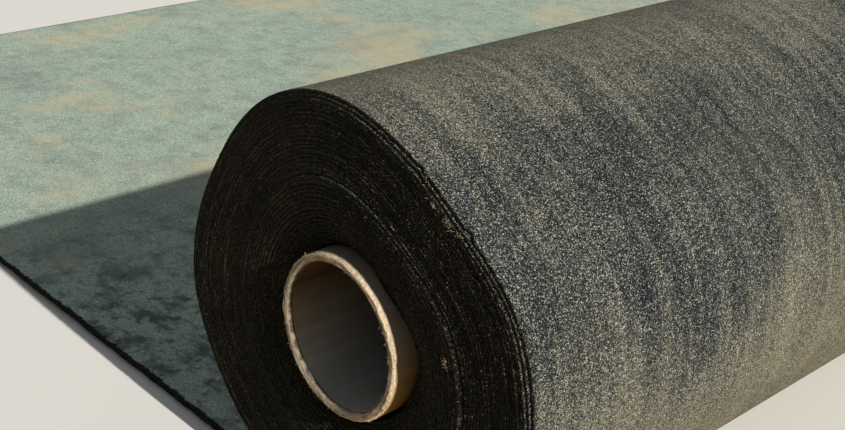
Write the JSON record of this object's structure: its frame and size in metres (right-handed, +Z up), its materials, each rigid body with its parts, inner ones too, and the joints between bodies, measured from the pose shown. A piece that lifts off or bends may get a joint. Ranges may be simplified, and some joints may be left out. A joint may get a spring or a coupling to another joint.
{
  "type": "roll of roofing felt",
  "caption": "Roll of mineral faced roofing felt wound on a tube and lying on its side, with its free end laid out flat on the floor.",
  "frame": {"origin": "on the floor, midway along the felt's width, at the line where the free end leaves the roll", "axes": "+X along the roll's axis from the near end to the far end, +Y the way the free end lies, +Z up"},
  "size_m": [1.0191, 1.0426, 0.2255],
  "materials": {
    "bitumen_felt": "blue black bitumen with a sanded back",
    "mineral_face": "green grey slate granules pressed into bitumen",
    "tube_board": "spiral wound grey board"
  },
  "bodies": {
    "root": {"felt_roll": "bitumen_felt", "core_tube": "tube_board"}
  },
  "joints": []
}
